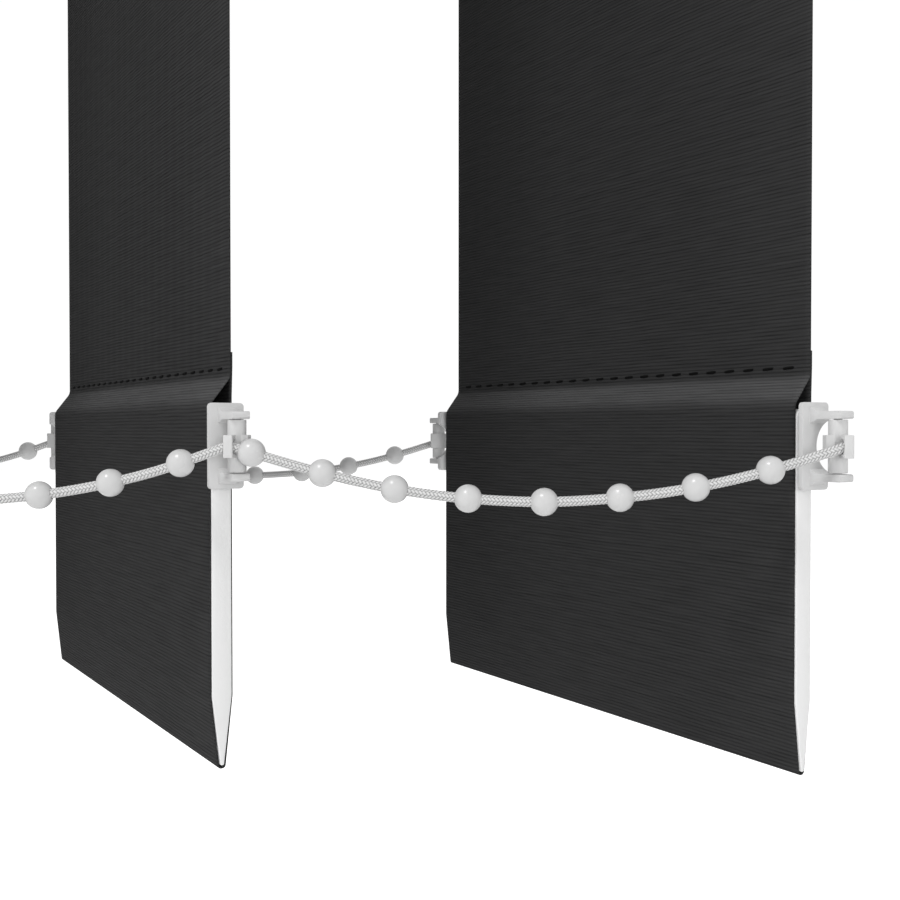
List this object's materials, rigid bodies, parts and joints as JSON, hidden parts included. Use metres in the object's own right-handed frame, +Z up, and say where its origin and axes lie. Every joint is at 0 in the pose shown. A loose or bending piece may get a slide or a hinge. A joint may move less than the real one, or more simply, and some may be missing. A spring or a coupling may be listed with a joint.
{
  "type": "vertical blind",
  "caption": "Vertical blind: dark fabric slats in a ceiling track, turned and drawn by a wand, weighted at the foot and linked by beaded cords.",
  "frame": {"origin": "middle of the two ceiling screw holes, on the ceiling face of the brackets", "axes": "+X along the track from the fixed carrier to the lead carrier, +Y towards the window, +Z up"},
  "size_m": [0.295, 0.091, 0.6],
  "materials": {
    "bead_plastic": "glossy white",
    "cap_plastic": "moulded, satin white",
    "carrier_plastic": "moulded acetal, white",
    "clip_plastic": "moulded, white",
    "cord_braid": "white braid",
    "gear_plastic": "moulded acetal, natural white",
    "hanger_plastic": "moulded, white",
    "rod_aluminium": "extruded",
    "slat_cloth": "charcoal grey, fine horizontal rib",
    "spring_steel": "plain spring steel",
    "track_paint": "white powder coat, satin",
    "wand_plastic": "glossy white",
    "weight_plastic": "moulded, white"
  },
  "bodies": {
    "track": {"headrail": "track_paint", "end_cap_left": "cap_plastic", "end_cap_right": "cap_plastic", "ceiling_bracket_left": "spring_steel", "ceiling_bracket_right": "spring_steel", "carrier_1": "carrier_plastic"},
    "tilt_rod": {"tilt_rod": "rod_aluminium"},
    "carrier_2": {"carrier_2": "carrier_plastic", "spacer_link_1": "spring_steel"},
    "carrier_3": {"carrier_3": "carrier_plastic", "spacer_link_2": "spring_steel"},
    "worm_1": {"worm_1": "gear_plastic"},
    "worm_2": {"worm_2": "gear_plastic"},
    "worm_3": {"worm_3": "gear_plastic"},
    "rod_gear": {"rod_gear": "gear_plastic"},
    "wand": {"wand_shaft": "gear_plastic", "wand": "wand_plastic"},
    "slat_1": {"stem_1": "gear_plastic", "hanger_1": "hanger_plastic", "slat_1": "slat_cloth", "bottom_weight_1": "weight_plastic", "front_clip_1": "clip_plastic", "rear_clip_1": "clip_plastic"},
    "front_swivel_1": {"front_swivel_1": "clip_plastic"},
    "rear_swivel_1": {"rear_swivel_1": "clip_plastic"},
    "slat_2": {"stem_2": "gear_plastic", "hanger_2": "hanger_plastic", "slat_2": "slat_cloth", "bottom_weight_2": "weight_plastic", "front_clip_2": "clip_plastic", "rear_clip_2": "clip_plastic"},
    "front_swivel_2": {"front_swivel_2": "clip_plastic"},
    "rear_swivel_2": {"rear_swivel_2": "clip_plastic"},
    "slat_3": {"stem_3": "gear_plastic", "hanger_3": "hanger_plastic", "slat_3": "slat_cloth", "bottom_weight_3": "weight_plastic", "front_clip_3": "clip_plastic", "rear_clip_3": "clip_plastic"},
    "front_swivel_3": {"front_swivel_3": "clip_plastic"},
    "rear_swivel_3": {"rear_swivel_3": "clip_plastic"},
    "front_span_1_left": {"front_cord_1_left": "cord_braid", "front_beads_1_left": "bead_plastic"},
    "front_span_1_right": {"front_cord_1_right": "cord_braid", "front_beads_1_right": "bead_plastic"},
    "front_span_2_left": {"front_cord_2_left": "cord_braid", "front_beads_2_left": "bead_plastic"},
    "front_span_2_right": {"front_cord_2_right": "cord_braid", "front_beads_2_right": "bead_plastic"},
    "rear_span_1_left": {"rear_cord_1_left": "cord_braid", "rear_beads_1_left": "bead_plastic"},
    "rear_span_1_right": {"rear_cord_1_right": "cord_braid", "rear_beads_1_right": "bead_plastic"},
    "rear_span_2_left": {"rear_cord_2_left": "cord_braid", "rear_beads_2_left": "bead_plastic"},
    "rear_span_2_right": {"rear_cord_2_right": "cord_braid", "rear_beads_2_right": "bead_plastic"}
  },
  "joints": [
    {"name": "tilt_1", "type": "hinge", "parent": "track", "child": "slat_1", "pos_m": [-0.079, 0, -0.0135], "axis": [0, 0, -1], "range_deg": [-36, 106]},
    {"name": "tilt_2", "type": "hinge", "parent": "carrier_2", "child": "slat_2", "pos_m": [0, 0, -0.0135], "axis": [0, 0, -1], "range_deg": [-36, 106]},
    {"name": "tilt_3", "type": "hinge", "parent": "carrier_3", "child": "slat_3", "pos_m": [0.079, 0, -0.0135], "axis": [0, 0, -1], "range_deg": [-36, 106]},
    {"name": "front_swivel_turn_1", "type": "hinge", "parent": "slat_1", "child": "front_swivel_1", "pos_m": [-0.05199, -0.04233, -0.5555], "axis": [0, 0, -1], "range_deg": [-106, 36]},
    {"name": "front_swivel_turn_2", "type": "hinge", "parent": "slat_2", "child": "front_swivel_2", "pos_m": [0.02701, -0.04233, -0.5555], "axis": [0, 0, -1], "range_deg": [-106, 36]},
    {"name": "front_swivel_turn_3", "type": "hinge", "parent": "slat_3", "child": "front_swivel_3", "pos_m": [0.10601, -0.04233, -0.5555], "axis": [0, 0, -1], "range_deg": [-106, 36]},
    {"name": "rear_swivel_turn_1", "type": "hinge", "parent": "slat_1", "child": "rear_swivel_1", "pos_m": [-0.10813, 0.0409, -0.5555], "axis": [0, 0, -1], "range_deg": [-106, 36]},
    {"name": "rear_swivel_turn_2", "type": "hinge", "parent": "slat_2", "child": "rear_swivel_2", "pos_m": [-0.02913, 0.0409, -0.5555], "axis": [0, 0, -1], "range_deg": [-106, 36]},
    {"name": "rear_swivel_turn_3", "type": "hinge", "parent": "slat_3", "child": "rear_swivel_3", "pos_m": [0.04987, 0.0409, -0.5555], "axis": [0, 0, -1], "range_deg": [-106, 36]},
    {"name": "front_span_1_left_sag", "type": "hinge", "parent": "front_swivel_1", "child": "front_span_1_left", "pos_m": [-0.05189, -0.04443, -0.5555], "axis": [0, 1, 0], "range_deg": [0, 43.66]},
    {"name": "front_span_1_right_sag", "type": "hinge", "parent": "front_swivel_2", "child": "front_span_1_right", "pos_m": [0.02586, -0.04443, -0.5555], "axis": [0, -1, 0], "range_deg": [0, 71.05]},
    {"name": "front_span_2_left_sag", "type": "hinge", "parent": "front_swivel_2", "child": "front_span_2_left", "pos_m": [0.02711, -0.04443, -0.5555], "axis": [0, 1, 0], "range_deg": [0, 53.05]},
    {"name": "front_span_2_right_sag", "type": "hinge", "parent": "front_swivel_3", "child": "front_span_2_right", "pos_m": [0.10591, -0.04443, -0.5555], "axis": [0, -1, 0], "range_deg": [0, 59.64]},
    {"name": "rear_span_1_left_sag", "type": "hinge", "parent": "rear_swivel_1", "child": "rear_span_1_left", "pos_m": [-0.10803, 0.043, -0.5555], "axis": [0, 1, 0], "range_deg": [0, 43.66]},
    {"name": "rear_span_1_right_sag", "type": "hinge", "parent": "rear_swivel_2", "child": "rear_span_1_right", "pos_m": [-0.03028, 0.043, -0.5555], "axis": [0, -1, 0], "range_deg": [0, 71.05]},
    {"name": "rear_span_2_left_sag", "type": "hinge", "parent": "rear_swivel_2", "child": "rear_span_2_left", "pos_m": [-0.02903, 0.043, -0.5555], "axis": [0, 1, 0], "range_deg": [0, 53.05]},
    {"name": "rear_span_2_right_sag", "type": "hinge", "parent": "rear_swivel_3", "child": "rear_span_2_right", "pos_m": [0.04977, 0.043, -0.5555], "axis": [0, -1, 0], "range_deg": [0, 59.64]},
    {"name": "draw_2", "type": "slide", "parent": "track", "child": "carrier_2", "axis": [-1, 0, 0], "range_m": [0, 0.047]},
    {"name": "draw", "type": "slide", "parent": "track", "child": "carrier_3", "axis": [-1, 0, 0], "range_m": [0, 0.094], "deforming": ["front_cord_1_left", "front_beads_1_left", "front_cord_1_right", "front_beads_1_right", "front_cord_2_left", "front_beads_2_left", "front_cord_2_right", "front_beads_2_right", "rear_cord_1_left", "rear_beads_1_left", "rear_cord_1_right", "rear_beads_1_right", "rear_cord_2_left", "rear_beads_2_left", "rear_cord_2_right", "rear_beads_2_right"]},
    {"name": "rod_spin", "type": "hinge", "parent": "track", "child": "tilt_rod", "pos_m": [0, -0.0055, -0.0135], "axis": [1, 0, 0], "range_deg": [-432, 1272]},
    {"name": "worm_spin_1", "type": "hinge", "parent": "track", "child": "worm_1", "pos_m": [-0.079, -0.0055, -0.0135], "axis": [1, 0, 0], "range_deg": [-432, 1272]},
    {"name": "worm_spin_2", "type": "hinge", "parent": "carrier_2", "child": "worm_2", "pos_m": [0, -0.0055, -0.0135], "axis": [1, 0, 0], "range_deg": [-432, 1272]},
    {"name": "worm_spin_3", "type": "hinge", "parent": "carrier_3", "child": "worm_3", "pos_m": [0.079, -0.0055, -0.0135], "axis": [1, 0, 0], "range_deg": [-432, 1272]},
    {"name": "rod_gear_spin", "type": "hinge", "parent": "carrier_3", "child": "rod_gear", "pos_m": [0.131, -0.0055, -0.0135], "axis": [1, 0, 0], "range_deg": [-432, 1272]},
    {"name": "wand_spin", "type": "hinge", "parent": "carrier_3", "child": "wand", "pos_m": [0.131, -0.0055, -0.0135], "axis": [0, 0, 1], "range_deg": [-432, 1272]}
  ],
  "couplings": [
    {"joint": "tilt_2", "follows": "tilt_1", "ratio": 1},
    {"joint": "tilt_3", "follows": "tilt_1", "ratio": 1},
    {"joint": "front_swivel_turn_1", "follows": "tilt_1", "ratio": -1},
    {"joint": "front_swivel_turn_2", "follows": "tilt_1", "ratio": -1},
    {"joint": "front_swivel_turn_3", "follows": "tilt_1", "ratio": -1},
    {"joint": "rear_swivel_turn_1", "follows": "tilt_1", "ratio": -1},
    {"joint": "rear_swivel_turn_2", "follows": "tilt_1", "ratio": -1},
    {"joint": "rear_swivel_turn_3", "follows": "tilt_1", "ratio": -1},
    {"joint": "front_span_1_left_sag", "follows": "draw", "rad_per_m": 8.0979},
    {"joint": "front_span_1_right_sag", "follows": "draw", "rad_per_m": 13.183},
    {"joint": "front_span_2_left_sag", "follows": "draw", "rad_per_m": 9.84},
    {"joint": "front_span_2_right_sag", "follows": "draw", "rad_per_m": 11.065},
    {"joint": "rear_span_1_left_sag", "follows": "draw", "rad_per_m": 8.0979},
    {"joint": "rear_span_1_right_sag", "follows": "draw", "rad_per_m": 13.183},
    {"joint": "rear_span_2_left_sag", "follows": "draw", "rad_per_m": 9.84},
    {"joint": "rear_span_2_right_sag", "follows": "draw", "rad_per_m": 11.065},
    {"joint": "draw_2", "follows": "draw", "ratio": 0.5},
    {"joint": "rod_spin", "follows": "tilt_1", "ratio": 12},
    {"joint": "worm_spin_1", "follows": "tilt_1", "ratio": 12},
    {"joint": "worm_spin_2", "follows": "tilt_1", "ratio": 12},
    {"joint": "worm_spin_3", "follows": "tilt_1", "ratio": 12},
    {"joint": "rod_gear_spin", "follows": "tilt_1", "ratio": 12},
    {"joint": "wand_spin", "follows": "tilt_1", "ratio": 12}
  ]
}
